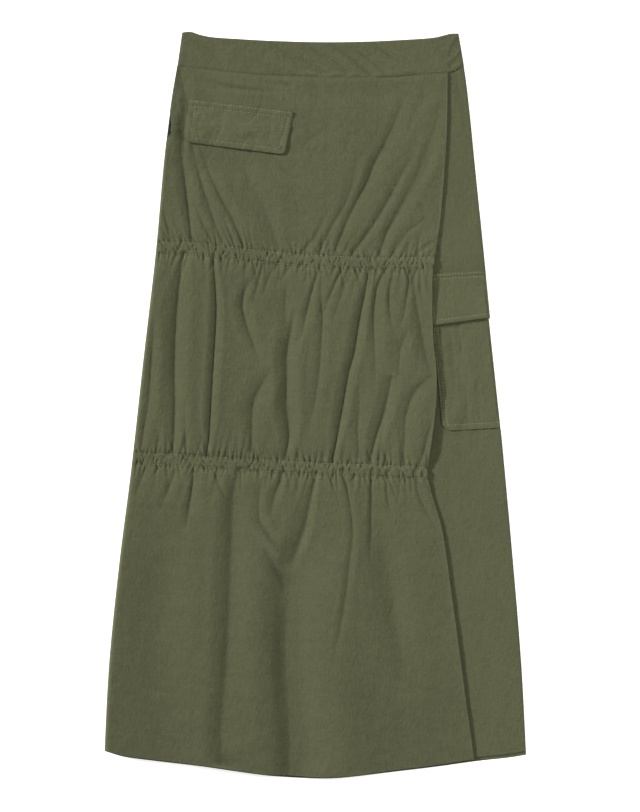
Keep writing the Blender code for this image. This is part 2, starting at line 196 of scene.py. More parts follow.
HEM_FOLDS = folds(
    ((534, 566), (-210, -221), (2.4, 0.6), 4, 6),
    ((538, 556, 584), (-174, -178, -192), (2.0, 2.0, 0.3), 5, 7),
    ((539, 567, 602), (-151, -153, -160), (2.6, 3.0, 1.0), 4, 9),
    ((632, 678, 747, 805), (-187, -198, -201, -202), (0.2, 1.6, 1.6, 0.3), 22, 26),
    ((541, 560, 576), (-124, -119, -109), (1.6, 1.4, 0.3), 3, 5),
    ((535, 553, 578, 614, 650, 704, 739, 790, 829, 865, 893),
     (-95, -106, -106, -105, -109, -110, -111, -114, -119, -121, -118),
     (2.2, 3.4, 4.4, 4.4, 4.2, 4.0, 4.0, 3.8, 3.6, 3.2, 2.8), 9, 20),
    ((549, 578, 600, 617, 634), (-68, -74, -72, -61, -48), (0.8, 1.4, 1.8, 1.6, 0.6), 5, 5),
    ((541, 564, 590), (-42, -54, -58), (2.2, 2.4, 0.6), 7, 7),
    ((541, 571, 603, 624, 649), (-4, -9, -18, -22, -33), (2.4, 3.2, 3.6, 3.4, 1.4), 9, 5),
    ((634, 654, 671, 690), (-65, -55, -44, -39), (0.6, 1.6, 1.8, 0.6), 7, 10),
    ((606, 665, 719, 768, 817, 866, 909), (-25, -41, -34, -39, -32, -29, -29),
     (0.2, 5.4, 7.0, 8.0, 8.0, 7.8, 7.0), 18, 26),
    ((695, 732, 775, 811, 847, 909), (-39, -40, -42, -37, -36, -36),
     (0.3, 1.8, 2.4, 2.4, 2.2, 1.8), 8, 5),
    ((538, 574, 610, 650, 704, 736, 779), (32, 39, 48, 39, 32, 28, 18),
     (2.0, 1.8, 1.8, 1.6, 1.4, 1.0, 0.1), 3.5, 4.5),
    ((538, 578, 614, 649), (67, 66, 66, 65), (2.2, 2.2, 1.6, 0.3), 3, 6),
    ((579, 639, 675, 725, 768, 805), (70, 78, 87, 93, 102, 108),
     (0.6, 3.2, 3.8, 3.4, 2.2, 0.4), 13, 20),
    ((539, 567, 591), (86, 84, 91), (1.6, 1.4, 0.3), 3, 5),
    ((539, 571), (102, 100), (1.4, 0.4), 3, 4),
    ((539, 564, 585, 605), (120, 122, 132, 144), (1.8, 1.6, 1.4, 0.4), 3.5, 5),
    ((541, 564, 595), (129, 140, 149), (1.4, 1.2, 0.4), 3, 4),
)
BAND_FOLDS = folds(
    ((14, 31, 41, 50), (-55, -35, -14, 5), (0.4, 1.4, 1.8, 1.2), 5, 8),
    ((18, 31, 41, 50), (-11, 10, 24, 35), (0.4, 1.3, 1.9, 1.6), 5, 6),
    ((18, 31, 52), (19, 37, 64), (0.4, 1.4, 1.4), 4, 6),
    ((18, 33, 49), (40, 62, 80), (0.3, 1.2, 0.8), 4, 6),
    ((13, 28, 40), (70, 83, 105), (0.6, 1.1, 0.3), 4, 5),
    ((11, 25, 42), (-156, -132, -116), (0.5, 1.4, 0.6), 6, 8),
    ((6, 16, 28), (178, 171, 164), (1.4, 2.2, 1.0), 3, 4),
    ((24, 33, 42), (180, 173, 164), (1.0, 1.5, 0.8), 2.5, 3.5),
)

# Broad valleys that the wrap panel sags into, and the height that it has to spare for them.
SAG = folds(
    ((60, 150, 250, 400, 600, 800, 912), (-85, -72, -58, -45, -36, -31, -31),
     (3.0, 4.4, 3.6, 2.0, 2.2, 1.8, 1.4), 80, 62),
    ((64, 110, 160, 230), (140, 132, 112, 84), (1.2, 2.2, 2.0, 1.0), 62, 22),
    ((560, 620, 700, 905), (66, 78, 92, 100), (1.0, 3.0, 3.0, 2.4), 36, 26),
    ((580, 680, 800, 905), (-190, -184, -182, -180), (0.6, 3.2, 3.6, 3.4), 52, 30),
)
SAG_DEPTH = 2.8

# Soft dents of the wrap panel, and bulges where the depth is negative.
Dent = namedtuple("Dent", "down across depth tall wide")
DENTS = (
    Dent(72, 45, 1.6, 13, 80),
    Dent(82, -18, -3.0, 32, 62),
    Dent(161, -130, 3.2, 16, 46),
    Dent(118, 30, -0.8, 26, 50),
)

BASE_FOLDS = folds(
    ((44, 66, 86, 112), (165, 168, 173, 181), (0.9, 1.2, 1.0, 0.2), 9, 7),
)
POCKET_FOLDS = folds(
    ((352, 372, 382, 405), (171, 176, 177.6, 177), (0.8, 1.4, 1.4, 0.2), 3, 4),
    ((410, 424, 438), (173, 175, 178), (0.3, 0.8, 0.3), 4, 5),
    ((360, 385, 420, 455), (160, 164, 167, 168), (0.8, 2.0, 1.6, 0.2), 8, 10),
    ((425, 450, 480), (181, 183, 184), (0.2, 0.9, 0.5), 5, 7),
    ((430, 458, 482), (197, 198, 199), (0.2, 0.8, 0.5), 5, 8),
    ((462, 480), (185.6, 185.6), (0.2, 0.4), 3, 3),
)

# The hip flap's corners as (across, down), and the radius of the lower two.
HIP_FLAP = {
    "top": ((-154.0, 83.0), (-26.5, 98.8)),
    "bottom": ((-158.5, 136.0), (-36.0, 151.5)),
    "corner": 8.0,
}
HIP_FLAP_TALL = 53.0
HIP_FLAP_SEAM = 6.7  # a row of stitches so far inside its sides and bottom
HIP_FLAP_ROWS = (1.6, 7.6)  # and two so far below its top
HIP_FLAP_LIFT = (0.8, 2.2)  # how far it stands off the wrap panel at its top and bottom

# Patches round the side fold: half their width, their top and bottom down the skirt at the inner edge
# and at the fold, and how far in and up each lower corner is cut.
CARGO_POCKET = {"half": 72.0, "top": (309.0, 304.5), "bottom": (489.0, 485.0), "cut": (9.0, 7.5)}
CARGO_FLAP = {"half": 74.0, "top": (297.0, 292.5), "bottom": (360.5, 351.0), "cut": (3.0, 2.0)}
POCKET_SEAMS = (2.0, 7.0)  # rows of stitches so far inside an edge
CARGO_FLAP_SEAM, CARGO_FLAP_ROWS = 6.1, (1.8, 6.7)

# Soft waves of a face.
Wave = namedtuple("Wave", "height size turn seed")
WRAP_WAVES = (
    Wave(0.6, (46, 120), 0, 1.5),
    Wave(0.22, (14, 46), 0.1, 7.5),
    Wave(0.12, (26, 9), 0.15, 3.5),
    Wave(0.08, (8, 8), 0.6, 9.5),
)
BASE_WAVES = (Wave(0.35, (40, 110), 0, 21.5), Wave(0.12, (13, 34), 0.2, 27.5))
BACK_WAVES = (Wave(0.12, (40, 110), 0, 31.5),)
UNDERSIDE_WAVES = (Wave(0.25, (30, 140), 0, 35.5),)
BAND_WAVES = (Wave(0.35, (60, 30), -0.5, 41.5), Wave(0.16, (14, 7), -0.5, 42.5))
HIP_FLAP_WAVES = (Wave(1.1, (26, 14), 0.1, 51.5), Wave(0.26, (7, 5), 0.3, 52.5))
POCKET_WAVES = (Wave(0.6, (22, 30), 0, 61.5), Wave(0.18, (6, 8), 0, 62.5))
CARGO_FLAP_WAVES = (Wave(0.3, (20, 16), 0, 71.5), Wave(0.14, (6, 6), 0, 72.5))
ZIP_WAVES = (Wave(0.1, (2, 1), 0, 81.5),)

# Two sets of small sharp creases that cross one another, and how deep they are on each piece.
CRINKLES = (Wave(1.0, (15, 40), 0.45, 13.5), Wave(0.7, (11, 24), -0.6, 17.5))
CRINKLE_SHARPNESS = 4
WRAP_CRINKLE = {"down": (300, 560), "depth": (0.3, 0.16)}
CRINKLE = {"base": 0.14, "band": 0.3, "hip_flap": 0.7, "pocket": 0.5, "cargo_flap": 0.3}

# Ranges for random short creases beside an elastic channel, and for the gathers in it.
PUCKER = {"step": (3.6, 8.0), "depth": (0.3, 1.5), "reach": (5, 24), "width": (0.9, 1.8),
          "lean": (-0.4, 0.4)}
PUCKER_SHARE = 1.5
PUCKER_SPAN, PUCKER_INSIDE, PUCKER_OUTSIDE = 40, -7, 50  # how far away one may still be felt
GATHER = {"step": (0.8, 2.2), "lean": (-0.7, 0.7), "middle": (-11, 11), "reach": (1.5, 5),
          "width": (0.6, 1.1), "depth": (0.2, 1.3)}
GROOVE = {"depth": 0.5, "reach": 1.2}  # along each row of stitches of a channel

# The shape of a fold. A pair in brackets is where a change starts and ends.
FOLD_FADE = 6  # over this length it fades in and out at its ends
FOLD_SHARE = 1.3  # the same of every depth on the wrap panel
BAND_FOLD_SHARE, BAND_FOLD_LIMIT = 1.7, 2.4
PATH_STEP = 2  # its lean is measured so far above and below each place
LOOSE = (8, 68)  # away from an elastic it gets wider and deeper
HELD_WIDTH, LOOSE_WIDTH, HELD_DEPTH = 0.55, 1.0, 0.75
RIGHT_SPREAD = 0.85  # the right spread's share of what its row says
WALL_SHARE, WIDEST_WALL = 0.5, 10  # its bottom is half its left spread to the right of its wall
SHARP, FREE_SHARP = 0.3, 0.75  # a narrow fold has this share of its depth in a sharp line
FREE = (60, 190)  # further away its line gets less sharp
SHARP_SPREAD = (14, 28)  # and a wide one has none
SHARP_WIDTH, SHARP_WIDTHS = 0.3, (0.9, 2.5)
ROUND, ROUND_RISE, ROUNDEST = 1.15, 0.03, 1.9  # a power: a wide fold has a rounder bottom
TROUGH = 1.04
BULGE = {"height": 0.13, "middle": 2.4, "reach": 0.9}  # beside it, in its own depth and widths

# The wrap panel's edges.
ROLL = 9  # it comes down round the left side fold over this distance on either side
ROUND_SIDE = 3.5
SLACK, INNER = (60, 180), (0, 150)  # it gets slack down the skirt, and inwards from its free edge
PRESSED = 0.8  # a fold may press this far into the cloth beneath
SHELL_LIFT = 0.25
EDGE_BEAD = {"height": 0.7, "reach": 2.0}
WRAP_EDGE_ROUND, WRAP_HEM_ROUND = 0.7, 1.0
WAIST_GROOVE = {"depth": 0.5, "reach": 1.6}


# Lines and blends.


def mix(a, b, t):
    return a + (b - a) * t


def ease(t):
    """0 to 1, with soft ends."""
    t = np.clip(t, 0, 1)
    return t * t * (3 - 2 * t)


def ramp(at, start, end):
    """0 at the start to 1 at the end, with soft ends. The end may be less than the start."""
    return ease((at - start) / (end - start))


def bell(at, middle, reach):
    return np.exp(-(((at - middle) / reach) ** 2))


def straight_line(places, values, at):
    return np.interp(at, places, values)


def smooth_line(places, values, at):
    """A soft curve through (place, value) pairs: cubic pieces with averaged slopes."""
    places, values = np.asarray(places, float), np.asarray(values, float)
    last = len(places) - 1
    before, after = np.maximum(np.arange(last + 1) - 1, 0), np.minimum(np.arange(last + 1) + 1, last)
    slopes = (values[after] - values[before]) / (places[after] - places[before])
    at = np.clip(at, places[0], places[-1])
    i = np.clip(np.searchsorted(places, at) - 1, 0, last - 1)
    span = places[i + 1] - places[i]
    t = (at - places[i]) / span
    return (
        values[i] * (1 + 2 * t) * (1 - t) ** 2
        + slopes[i] * span * t * (1 - t) ** 2
        + values[i + 1] * t * t * (3 - 2 * t)
        + slopes[i + 1] * span * t * t * (t - 1)
    )


def down_at(line, across):
    return smooth_line(line["across"], line["down"], across)


def left_at(down):
    return smooth_line(SIDES["down"], SIDES["left"], down)


def right_at(down):
    return smooth_line(SIDES["down"], SIDES["right"], down)


def wrap_edge_at(down):
    return smooth_line(WRAP_EDGE["down"], WRAP_EDGE["across"], down)


def gape_at(down):
    return straight_line(GAPE["down"], GAPE["open"], down)


def cargo_share(across, down):
    """1 where the cargo pocket lies, and faded out to 0 towards the middle of the skirt."""
    return straight_line(CARGO_REACH["inward"], CARGO_REACH["share"], right_at(down) - across)


def cargo(column, across, down):
    """One column of the cargo stack."""
    return cargo_share(across, down) * straight_line(CARGO_STACK["down"], CARGO_STACK[column], down)


def wander(across, down, size, turn=0.0, seed=0.0):
    """Smooth noise from about -1 to 1, whose lumps have the given size across and down."""
    c, s = math.cos(turn), math.sin(turn)
    x = (across * c + down * s) / size[0]
    y = (down * c - across * s) / size[1]
    values = [noise.noise(Vector((a, b, seed))) for a, b in zip(x.ravel(), y.ravel())]
    return np.array(values).reshape(np.shape(x)) * 1.6


def waves(across, down, parts):
    return sum(part.height * wander(across, down, part.size, part.turn, part.seed) for part in parts)


# The cloth's relief.


def crinkle(across, down):
    """Small sharp creases: they lie where either of two sets of smooth noise passes through 0."""
    total = 0
    for part in CRINKLES:
        noise_here = wander(across, down, part.size, part.turn, part.seed)
        total = total + part.height * np.exp(-np.abs(noise_here) * CRINKLE_SHARPNESS)
    return total


def fold_relief(across, down, rows):
    """How deep the folds lie at each place, with a low bulge on either side of each."""
    total = np.zeros_like(across)
    elastics = (UPPER_ELASTIC, LOWER_ELASTIC)
    held = np.minimum(*(np.abs(down - down_at(line, across)) for line in elastics))
    loose, free = ramp(held, *LOOSE), ramp(held, *FREE)
    for fold in rows:
        start, end = fold.down[0] - FOLD_FADE, fold.down[-1] + FOLD_FADE
        path = np.array(fold.across, float)
        path[1:-1] = (path[:-2] + 2 * path[1:-1] + path[2:]) / 4
        near = (down > start) & (down < end)
        a, d = across[near], down[near]
        wall = smooth_line(fold.down, path, d)
        above, below = (smooth_line(fold.down, path, d + step) for step in (-PATH_STEP, PATH_STEP))
        lean = (below - above) / (2 * PATH_STEP)
        depth = smooth_line(fold.down, fold.depth, d)
        depth = depth * ramp(d, start, fold.down[0]) * ramp(d, end, fold.down[-1])
        offset = (a - wall - WALL_SHARE * min(fold.left, WIDEST_WALL)) / np.sqrt(1 + lean**2)
        width = np.where(offset < 0, fold.left, RIGHT_SPREAD * fold.right)
        width = width * mix(HELD_WIDTH, LOOSE_WIDTH, loose[near])
        t = np.abs(offset) / width
        sharp = SHARP * mix(1, FREE_SHARP, free[near])
        sharp = sharp * (1 - ramp(fold.left + fold.right, *SHARP_SPREAD))
        power = np.clip(ROUND + ROUND_RISE * width, ROUND, ROUNDEST)
        trough = (TROUGH - sharp) * np.exp(-(t**power))
        trough += sharp * np.exp(-np.abs(offset) / np.clip(SHARP_WIDTH * width, *SHARP_WIDTHS))
        trough -= BULGE["height"] * bell(t, BULGE["middle"], BULGE["reach"])
        total[near] += depth * mix(HELD_DEPTH, 1, loose[near]) * trough
    return total


def soft_limit(value, limit):
    """The value, kept below the limit by a smooth bend."""
    return value / (1 + (np.maximum(value, 0) / limit) ** 4) ** 0.25


def puckers(across, down, line, side, fan, seed):
    """Short creases that run from one edge of an elastic channel into the cloth beside it."""
    rng = np.random.default_rng(seed)
    away = side * (down - down_at(line, across)) - ELASTIC / 2
    total = np.zeros_like(across)
    place = line["across"][0]
    while place < line["across"][-1]:
        place += rng.uniform(*PUCKER["step"])
        depth, reach, width = (rng.uniform(*PUCKER[part]) for part in ("depth", "reach", "width"))
        lean = fan(place) + rng.uniform(*PUCKER["lean"])
        near = (np.abs(across - place) < PUCKER_SPAN) & (away > PUCKER_INSIDE) & (away < PUCKER_OUTSIDE)
        a, s = across[near], away[near]
        outside, within = np.maximum(s, 0), np.minimum(s, 0)
        beside = bell(a, place + lean * s, width * (1 + outside / 25))
        along = np.where(s > 0, np.exp(-((outside / reach) ** 1.5)), np.exp(within / 2.5))
        total[near] += depth * beside * along
    return total


def channel_relief(across, down, line, seed):
    """The elastic channel: two stitched grooves with finely gathered cloth between them."""
    rng = np.random.default_rng(seed)
    away = down - down_at(line, across)
    half = ELASTIC / 2
    total = np.zeros_like(across)
    near = np.abs(away) < half + 12
    a, s = across[near], away[near]
    part = GROOVE["depth"] * (bell(s, half, GROOVE["reach"]) + bell(s, -half, GROOVE["reach"]))
    place = line["across"][0]
    while place < line["across"][-1]:
        place += rng.uniform(*GATHER["step"])
        lean, middle, reach = (rng.uniform(*GATHER[key]) for key in ("lean", "middle", "reach"))
        beside = bell(a, place + lean * (s - middle), rng.uniform(*GATHER["width"]))
        part += rng.uniform(*GATHER["depth"]) * beside * bell(s, middle, reach)
    total[near] = part
    return total


def rounded(distance, radius):
    """How far an edge has rolled off at a distance inside it."""
    t = np.clip(1 - distance / radius, 0, 1)
    return radius * (1 - np.sqrt(1 - t * t))


def hip_fan(place):
    """How far the puckers above the upper elastic lean: outwards at both sides."""
    if place < -40:
        return -0.35
    return 0.28 if place > 20 else 0.0


def no_fan(place):
    return 0.0


def flare(place):
    """How far those below the lower elastic lean: outwards, and more so away from the middle."""
    return place / 260 * 0.35


def base_top(across, down):
    """Height of the front base's outer face."""
    return cargo("panel_lift", across, down) + LAYER + CLOTH


def wrap_top(across, down):
    """Height of the wrap panel's outer face."""
    inside = across - left_at(down)
    free = wrap_edge_at(down) - across
    roll = LAYER * ramp(inside, -ROLL, ROLL) * 2 - LAYER
    over_zip = (ZIP["cloth"] + GAP) * straight_line(OVER_ZIP["down"], OVER_ZIP["share"], down)
    stack = base_top(across, down) + np.maximum(roll, over_zip)
    stack += cargo_share(across, down) * straight_line(OVER_CARGO["down"], OVER_CARGO["lift"], down)
    slack, inner = ramp(down, *SLACK), ramp(free, *INNER)
    puff = smooth_line(PUFF["down"], PUFF["height"], down) + slack * SAG_DEPTH
    puff = mix(smooth_line(EDGE_LIFT["down"], EDGE_LIFT["height"], down), puff, inner)
    held = np.sqrt(1 - np.clip(1 - inside / ROUND_SIDE, 0, 1) ** 2)
    fine = puckers(across, down, UPPER_ELASTIC, -1, hip_fan, 11)
    fine += puckers(across, down, UPPER_ELASTIC, 1, no_fan, 12)
    fine += puckers(across, down, LOWER_ELASTIC, -1, no_fan, 13)
    fine += puckers(across, down, LOWER_ELASTIC, 1, flare, 14)
    fine += channel_relief(across, down, UPPER_ELASTIC, 15)
    fine += channel_relief(across, down, LOWER_ELASTIC, 16)
    soft = waves(across, down, WRAP_WAVES)
    soft -= mix(*WRAP_CRINKLE["depth"], ramp(down, *WRAP_CRINKLE["down"])) * crinkle(across, down)
    relief = FOLD_SHARE * fold_relief(across, down, HIP_FOLDS + THIGH_FOLDS + HEM_FOLDS)
    for dent in DENTS:
        relief += dent.depth * bell(down, dent.down, dent.tall) * bell(across, dent.across, dent.wide)
    relief += PUCKER_SHARE * fine + slack * inner * fold_relief(across, down, SAG)
    up = stack + (puff - soft_limit(relief, puff + PRESSED) + soft) * held + SHELL_LIFT
    up += EDGE_BEAD["height"] * np.exp(-free / EDGE_BEAD["reach"]) - rounded(free, WRAP_EDGE_ROUND)
    up -= rounded(down_at(HEM, across) - HEM_STEP - down, WRAP_HEM_ROUND)
    up -= WAIST_GROOVE["depth"] * bell(down, down_at(WAIST_SEAM, across), WAIST_GROOVE["reach"])
    return up


# Making meshes.

FINE = (0.25, 0.6, 1.1, 1.7)  # how far from an edge the first stations are
WRAP_SIDE = (0.4, 1.0, 2.0, 3.2)
WRAP_ROWS = (84, 10, 92, 10)  # down to each edge of each elastic
CLOSE, CLOSE_ROWS = 0.17, 24  # more rows in this share of what lies below the lower elastic
SEAM_GAP = 0.03  # between the waistband and the panels
HIDDEN_STEP = 4  # the underside has one station for so many of the upper face's
SHARP_EDGE = 62  # degrees
# How thick each piece's shell is.
SHELL = {"wrap": 0.6, "base": 0.6, "back": 0.7, "band": 0.8, "flap": 1.1, "pocket": 0.8, "zip": 0.6}
HIGH = 60  # above all the cloth


def spread(length, pitch, fine_start=(), fine_end=()):
    """Stations from 0 to 1 along a length: a fine few at each end, then evenly spaced at about a pitch.

    Their number of spaces is a multiple of 4, so that the hidden underside can be coarser.
    """
    first = fine_start[-1] if fine_start else 0
    last = length - (fine_end[-1] if fine_end else 0)
    fixed = len(fine_start) + len(fine_end)
    count = max(round((last - first) / pitch), 4)
    count += -(count + fixed) % 4
    middle = first + (last - first) * np.arange(count + 1) / count
    starts = (0,) + tuple(fine_start[:-1]) if fine_start else ()
    ends = tuple(length - x for x in reversed(fine_end[:-1])) + (length,) if fine_end else ()
    return np.array(tuple(starts) + tuple(middle) + ends) / length


def settle(lines, rows, across_at):
    """Grids of (across, down): row 1.5 lies halfway from lines[1] to lines[2] at its place across."""
    rows = np.asarray(rows, float)[:, None]
    i = np.clip(rows.astype(int), 0, len(lines) - 2)
    down = np.array([down_at(line, 0.0) + extra for line, extra in lines])[i]
    for _ in range(10):
        across = across_at(down)
        downs = np.array([down_at(line, across) + extra for line, extra in lines])
        top = np.take_along_axis(downs, np.broadcast_to(i, across.shape)[None], 0)[0]
        bottom = np.take_along_axis(downs, np.broadcast_to(i + 1, across.shape)[None], 0)[0]
        down = mix(top, bottom, rows - i)
    return across, down


def lowest(up, reach):
    """The lowest height within reach of each place of a grid."""
    wide = np.pad(up, reach, mode="edge")
    found = up.copy()
    for r in range(2 * reach + 1):
        for c in range(2 * reach + 1):
            found = np.minimum(found, wide[r : r + up.shape[0], c : c + up.shape[1]])
    return found


def to_world(across, down, up):
    return np.stack([across, LENGTH / 2 - down, up], -1) * MM


def quads_of(number):
    """The faces of a grid of numbered points."""
    return np.stack([number[:-1, :-1], number[1:, :-1], number[1:, 1:], number[:-1, 1:]], -1).reshape(-1, 4)


def put_in_scene(name, data):
    thing = bpy.data.objects.new(name, data)
    bpy.context.scene.collection.objects.link(thing)
    return thing


def mesh_piece(name, points, faces, finish, sharp=SHARP_EDGE, closed=True):
    mesh = bpy.data.meshes.new(name)
    mesh.from_pydata(points, [], faces)
    if closed:
        shape = bmesh.new()
        shape.from_mesh(mesh)
        bmesh.ops.recalc_face_normals(shape, faces=shape.faces)
        shape.to_mesh(mesh)
        shape.free()
    mesh.shade_smooth()
    mesh.set_sharp_from_angle(angle=math.radians(sharp))
    mesh.materials.append(finish)
    return put_in_scene(name, mesh)


def cloth_shell(name, across, down, up, wall, finish, flat_below=None, painted_fold_shade=0.0):
    """A closed cloth wall whose upper face is the given grid, and whose hidden underside is coarser.

    Its point attribute is painted shade: up to 1 in a crease, -1 (highlight) on a ridge, plus extra shade.
    """
    step = HIDDEN_STEP
    rows, columns = up.shape
    under = lowest(up, step) - wall if flat_below is None else flat_below
    top = to_world(across, down, up).reshape(-1, 3)
    low = to_world(across, down, under)[::step, ::step]
    low_rows, low_columns = low.shape[:2]
    number = np.arange(rows * columns).reshape(rows, columns)
    low_number = rows * columns + np.arange(low_rows * low_columns).reshape(low_rows, low_columns)
    faces = np.concatenate([quads_of(number), quads_of(low_number[:, ::-1])]).tolist()
    borders = ((number[0], low_number[0]), (number[-1], low_number[-1]),
               (number[:, 0], low_number[:, 0]), (number[:, -1], low_number[:, -1]))
    for upper, lower in borders:
        for k in range(len(lower) - 1):
            faces.append([lower[k], lower[k + 1]] + upper[k * step : (k + 1) * step + 1][::-1].tolist())
    piece = mesh_piece(name, np.concatenate([top, low.reshape(-1, 3)]), faces, finish)
    painted_shade = piece.data.attributes.new("painted_shade", "FLOAT", "POINT")
    depth = np.clip(smoothed(up, HOLLOW_ROUNDS) - up, -HOLLOW, HOLLOW).ravel() / HOLLOW
    # Plus the painted shade given for side folds and the hem.
    depth = depth + np.ravel(painted_fold_shade + 0 * up)
    painted_shade.data.foreach_set("value", np.concatenate([depth, np.zeros(low_rows * low_columns)]))
    return piece


def declare(piece, node, slot, **cut):
    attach(piece, "root")
    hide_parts(node)


# Materials.


OLIVE = (0.0725, 0.0765, 0.0375)
# The zip is black, and its black also stands in for the deep shade in the side seam's gape: partly painted
# shade.
ZIP_BLACK = (0.010, 0.010, 0.010)
SHEEN = {"Sheen Weight": 0.06, "Sheen Roughness": 0.55, "Sheen Tint": (0.8, 0.85, 0.6, 1)}
CLOTH_ROUGHNESS, CLOTH_SHINE = 0.85, 0.2
# Sizes of noise, as repeats in a metre.
WARP, WEFT, MOTTLE = (900, 60, 60), (60, 1100, 60), (300, 300, 300)
CREASES, DYE = (150, 95, 100), (14, 9, 14)
GRAIN = 900
SLUB_MIX = (0.45, 0.55)  # of the warp and the weft
TONE_MIX = {"slub": 0.50, "mottle": 0.30, "dye": 0.20}
TONES = {"position": (0.30, 0.70), "shade": (0.79, 1.21)}
# Painted shade: the point attribute darkens the colour by up to this share, and lightens ridges by it.
HOLLOW_SHADE = 0.25
THREAD_PITCH = 0.0008  # metres
WAVE_SCALE = 0.314  # of a wave texture, times the pitch of its bands
RELIEF_MIX = {"weave": 0.5, "slub": 1.3, "mottle": 1.0, "creases": 6.0}
BUMP = {"Strength": 0.45, "Distance": 0.0008}


def set_sockets(node, values):
    for socket, value in values.items():
        node.inputs[socket].default_value = value


def new_material(name):
    made = bpy.data.materials.new(name)
    made.use_nodes = True
    return made, made.node_tree.nodes, made.node_tree.links, made.node_tree.nodes["Principled BSDF"]


def cloth_material(name, colour):
    """Plain woven cloth: fine threads both ways, a slub that thickens some, and soft uneven dye."""
    made, nodes, links, shader = new_material(name)
    set_sockets(shader, {"Roughness": CLOTH_ROUGHNESS, "Specular IOR Level": CLOTH_SHINE, **SHEEN})
    place = nodes.new("ShaderNodeTexCoord")

    def scaled(scale):
        node = nodes.new("ShaderNodeMapping")
        node.inputs["Scale"].default_value = scale
        links.new(place.outputs["Object"], node.inputs["Vector"])
        return node.outputs["Vector"]

    def cloud(scale, detail=2.0):
        node = nodes.new("ShaderNodeTexNoise")
        set_sockets(node, {"Scale": 1.0, "Detail": detail})
        links.new(scaled(scale), node.inputs["Vector"])
        return node.outputs["Fac"]

    def threads(direction):
        node = nodes.new("ShaderNodeTexWave")
        node.wave_type = "BANDS"
        node.bands_direction = direction
        set_sockets(node, {"Scale": 1.0, "Distortion": 0.6, "Detail": 1.0})
        links.new(scaled((WAVE_SCALE / THREAD_PITCH,) * 3), node.inputs["Vector"])
        return node.outputs["Fac"]

    def maths(operation, a, b):
        node = nodes.new("ShaderNodeMath")
        node.operation = operation
        for socket, value in zip(node.inputs, (a, b)):
            if isinstance(value, (int, float)):
                socket.default_value = value
            else:
                links.new(value, socket)
        return node.outputs["Value"]

    def blend(parts):
        """The sum of (output, share) pairs."""
        total = None
        for output, share in parts:
            part = maths("MULTIPLY", output, share)
            total = part if total is None else maths("ADD", total, part)
        return total

    slub = blend(zip((cloud(WARP), cloud(WEFT)), SLUB_MIX))
    mottle = cloud(MOTTLE, detail=4.0)
    creases = maths("ABSOLUTE", maths("SUBTRACT", cloud(CREASES, detail=3.0), 0.5), 0)
    dye = cloud(DYE, detail=3.0)
    tone = blend(zip((slub, mottle, dye), TONE_MIX.values()))
    tones = nodes.new("ShaderNodeValToRGB")
    links.new(tone, tones.inputs["Fac"])
    for element, position, shade in zip(tones.color_ramp.elements, TONES["position"], TONES["shade"]):
        element.position = position
        element.color = [c * shade for c in colour] + [1]
    # Painted shade in creases and along side folds, and painted highlight on ridges, from the point
    # attribute.
    painted_shade = nodes.new("ShaderNodeAttribute")
    painted_shade.attribute_name = "painted_shade"
    shade = maths("SUBTRACT", 1.0, maths("MULTIPLY", painted_shade.outputs["Fac"], HOLLOW_SHADE))
    shaded_colour = nodes.new("ShaderNodeVectorMath")
    shaded_colour.operation = "SCALE"
    links.new(tones.outputs["Color"], shaded_colour.inputs["Vector"])
    links.new(shade, shaded_colour.inputs["Scale"])
    links.new(shaded_colour.outputs["Vector"], shader.inputs["Base Color"])

    weave = maths("MULTIPLY", threads("X"), threads("Y"))
    bump = nodes.new("ShaderNodeBump")
    set_sockets(bump, BUMP)
    links.new(blend(zip((weave, slub, mottle, creases), RELIEF_MIX.values())), bump.inputs["Height"])
    links.new(bump.outputs["Normal"], shader.inputs["Normal"])
    return made


def plain_material(name, colour, roughness):
    made, nodes, links, shader = new_material(name)
    shader.inputs["Roughness"].default_value = roughness
    grain = nodes.new("ShaderNodeTexNoise")
    grain.inputs["Scale"].default_value = GRAIN
    tones = nodes.new("ShaderNodeValToRGB")
    for element, shade in zip(tones.color_ramp.elements, (0.85, 1.15)):
        element.color = [c * shade for c in colour] + [1]
    place = nodes.new("ShaderNodeTexCoord")
    links.new(place.outputs["Object"], grain.inputs["Vector"])
    links.new(grain.outputs["Fac"], tones.inputs["Fac"])
    links.new(tones.outputs["Color"], shader.inputs["Base Color"])
    return made


olive = cloth_material("olive_cloth", [c * 0.97 for c in OLIVE])
olive_under = cloth_material("olive_cloth_under", [c * 0.97 for c in OLIVE])
# Painted light: the patches get a lighter copy of the same cloth, for the light their raised faces catch.
olive_painted_lighter = cloth_material("olive_cloth_painted_lighter", [c * 1.03 for c in OLIVE])
thread = plain_material("olive_thread", [c * 2.5 for c in OLIVE], 0.6)
# Painted shade: dark bars along the waist seam stand in for the shade in its stitch holes.
stitch_hole_shade = plain_material("stitch_hole_painted_shade", [c * 0.5 for c in OLIVE], 0.8)
black = plain_material("zip_black", ZIP_BLACK, 0.55)


# The panels.


